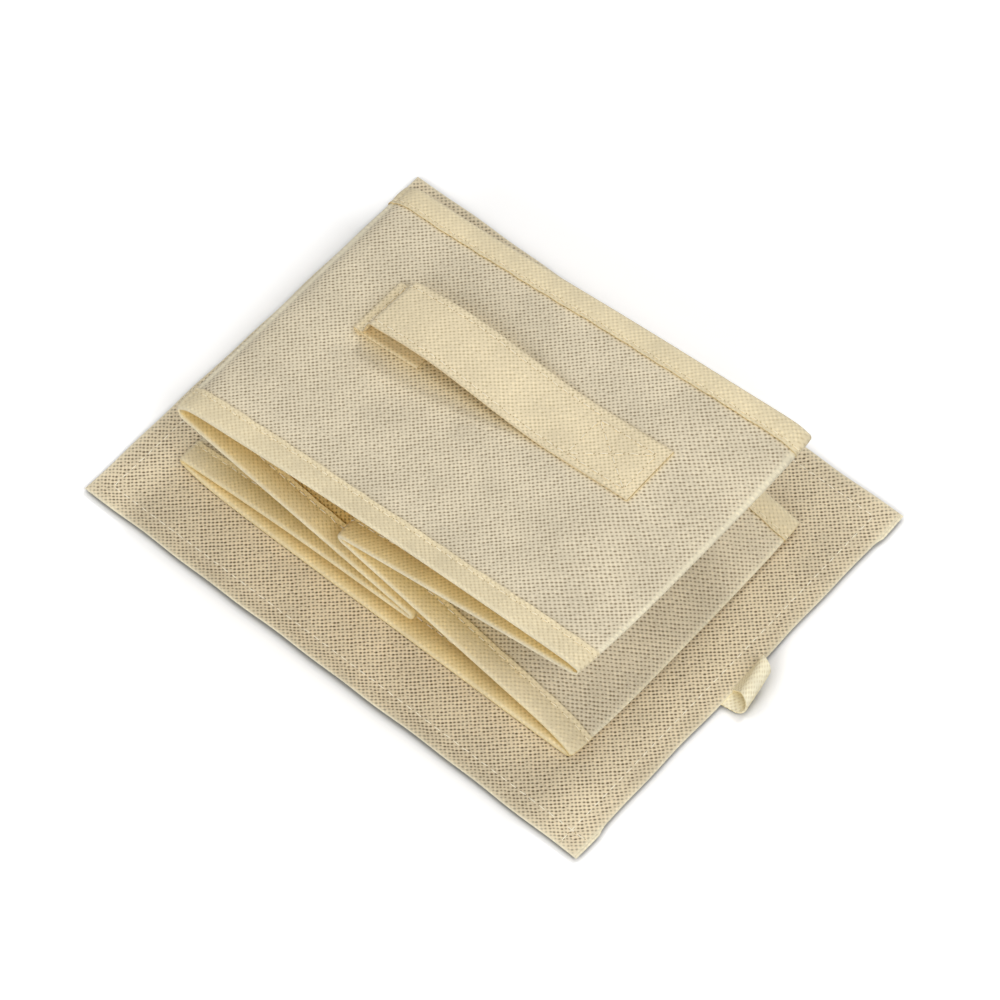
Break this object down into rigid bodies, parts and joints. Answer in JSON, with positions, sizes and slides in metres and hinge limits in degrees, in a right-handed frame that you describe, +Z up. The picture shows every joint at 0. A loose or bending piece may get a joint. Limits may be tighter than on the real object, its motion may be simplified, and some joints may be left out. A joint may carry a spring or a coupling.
{
  "type": "folding fabric storage bin",
  "caption": "Folding fabric storage bin lying flat on its loose stiffened base board, with bound rims, gusseted sides, a sewn handle strap and a pull loop.",
  "frame": {"origin": "centre of the base board's underside", "axes": "+X along the board's long side towards its pull loop, +Y from the sleeve's near rim to its far rim, +Z up"},
  "size_m": [0.2789, 0.214, 0.0731],
  "materials": {
    "wall_fabric": "matt beige non-woven, embossed with small dots",
    "lining_fabric": "matt beige non-woven, embossed with small dots",
    "base_fabric": "matt beige non-woven, embossed with small dots",
    "binding_tape": "matt cream non-woven tape",
    "strap_fabric": "matt cream non-woven strip",
    "stiffener_board": "plain grey board"
  },
  "bodies": {
    "base": {"base_lower_cover": "base_fabric", "base_board": "stiffener_board", "base_hem": "base_fabric", "base_upper_cover": "base_fabric"},
    "pull_loop": {"base_pull_loop": "strap_fabric"},
    "back_wall": {"back_cover": "wall_fabric", "back_board": "stiffener_board", "back_lining": "lining_fabric", "back_rim_tapes": "binding_tape", "back_left_fold_cloth": "wall_fabric", "back_left_fold_tapes": "binding_tape", "back_right_fold_cloth": "wall_fabric", "back_right_fold_tapes": "binding_tape"},
    "left_lower": {"left_lower_cover": "wall_fabric", "left_lower_board": "stiffener_board", "left_lower_lining": "lining_fabric", "left_lower_rim_tapes": "binding_tape", "left_fold_cloth": "wall_fabric", "left_fold_tapes": "binding_tape"},
    "left_upper": {"left_upper_cover": "wall_fabric", "left_upper_board": "stiffener_board", "left_upper_lining": "lining_fabric", "left_upper_rim_tapes": "binding_tape", "front_left_fold_cloth": "wall_fabric", "front_left_fold_tapes": "binding_tape"},
    "front_wall": {"front_cover": "wall_fabric", "front_board": "stiffener_board", "front_lining": "lining_fabric", "front_rim_tapes": "binding_tape", "front_right_fold_cloth": "wall_fabric", "front_right_fold_tapes": "binding_tape", "handle_strap": "strap_fabric"},
    "right_lower": {"right_lower_cover": "wall_fabric", "right_lower_board": "stiffener_board", "right_lower_lining": "lining_fabric", "right_lower_rim_tapes": "binding_tape", "right_fold_cloth": "wall_fabric", "right_fold_tapes": "binding_tape"},
    "right_upper": {"right_upper_cover": "wall_fabric", "right_upper_board": "stiffener_board", "right_upper_lining": "lining_fabric", "right_upper_rim_tapes": "binding_tape"}
  },
  "joints": [
    {"name": "sleeve_lift", "type": "slide", "parent": "base", "child": "back_wall", "axis": [0, 0, 1], "range_m": [0, 0.12]},
    {"name": "loop_flop", "type": "hinge", "parent": "base", "child": "pull_loop", "pos_m": [0.1354, 0, 0.0015], "axis": [0, -1, 0], "range_deg": [-8, 45]},
    {"name": "unfold", "type": "hinge", "parent": "back_wall", "child": "left_lower", "pos_m": [-0.1098, 0, 0.0063], "axis": [0, -1, 0], "range_deg": [0, 86], "deforming": ["back_left_fold_cloth", "back_left_fold_tapes"]},
    {"name": "left_fold", "type": "hinge", "parent": "left_lower", "child": "left_upper", "pos_m": [0.01567, 0, 0.01828], "axis": [0, -1, 0], "range_deg": [-165.4, 0], "deforming": ["left_fold_cloth", "left_fold_tapes"]},
    {"name": "front_fold", "type": "hinge", "parent": "left_upper", "child": "front_wall", "pos_m": [-0.10759, 0, 0.0446], "axis": [0, -1, 0], "range_deg": [0, 72.48], "deforming": ["front_left_fold_cloth", "front_left_fold_tapes", "front_right_fold_cloth", "front_right_fold_tapes"]},
    {"name": "right_hinge", "type": "hinge", "parent": "back_wall", "child": "right_lower", "pos_m": [0.1022, 0, 0.0063], "axis": [0, -1, 0], "range_deg": [-76.19, 0], "deforming": ["back_right_fold_cloth", "back_right_fold_tapes"]},
    {"name": "right_fold", "type": "hinge", "parent": "right_lower", "child": "right_upper", "pos_m": [-0.01939, 0, 0.03949], "axis": [0, -1, 0], "range_deg": [0, 153.56], "deforming": ["right_fold_cloth", "right_fold_tapes"]}
  ],
  "couplings": [
    {"joint": "left_fold", "follows": "unfold", "ratio": -1.9233},
    {"joint": "front_fold", "follows": "unfold", "ratio": 0.84278},
    {"joint": "right_hinge", "follows": "unfold", "ratio": -0.88588},
    {"joint": "right_fold", "follows": "unfold", "ratio": 1.7856}
  ]
}
